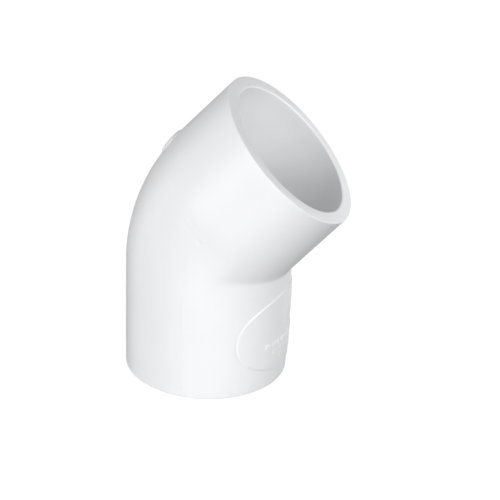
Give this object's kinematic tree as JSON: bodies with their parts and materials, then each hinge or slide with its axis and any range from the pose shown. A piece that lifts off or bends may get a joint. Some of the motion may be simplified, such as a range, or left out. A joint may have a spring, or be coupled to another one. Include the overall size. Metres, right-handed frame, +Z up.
{
  "type": "pvc conduit elbow",
  "caption": "White PVC conduit elbow that turns 45 degrees, with a plain glue-in socket at each end and a raised oval marking pad.",
  "frame": {"origin": "middle of the bottom of the elbow's box, in the plane of the lower mouth", "axes": "+Z up along the lower socket's axis, +X the way the elbow bends, +Y across the bend"},
  "size_m": [0.094, 0.0734, 0.1284],
  "materials": {
    "white_pvc": "semi-matt injection-moulded white PVC"
  },
  "bodies": {
    "root": {"lower_socket": "white_pvc", "bend": "white_pvc", "upper_socket": "white_pvc"}
  },
  "joints": []
}
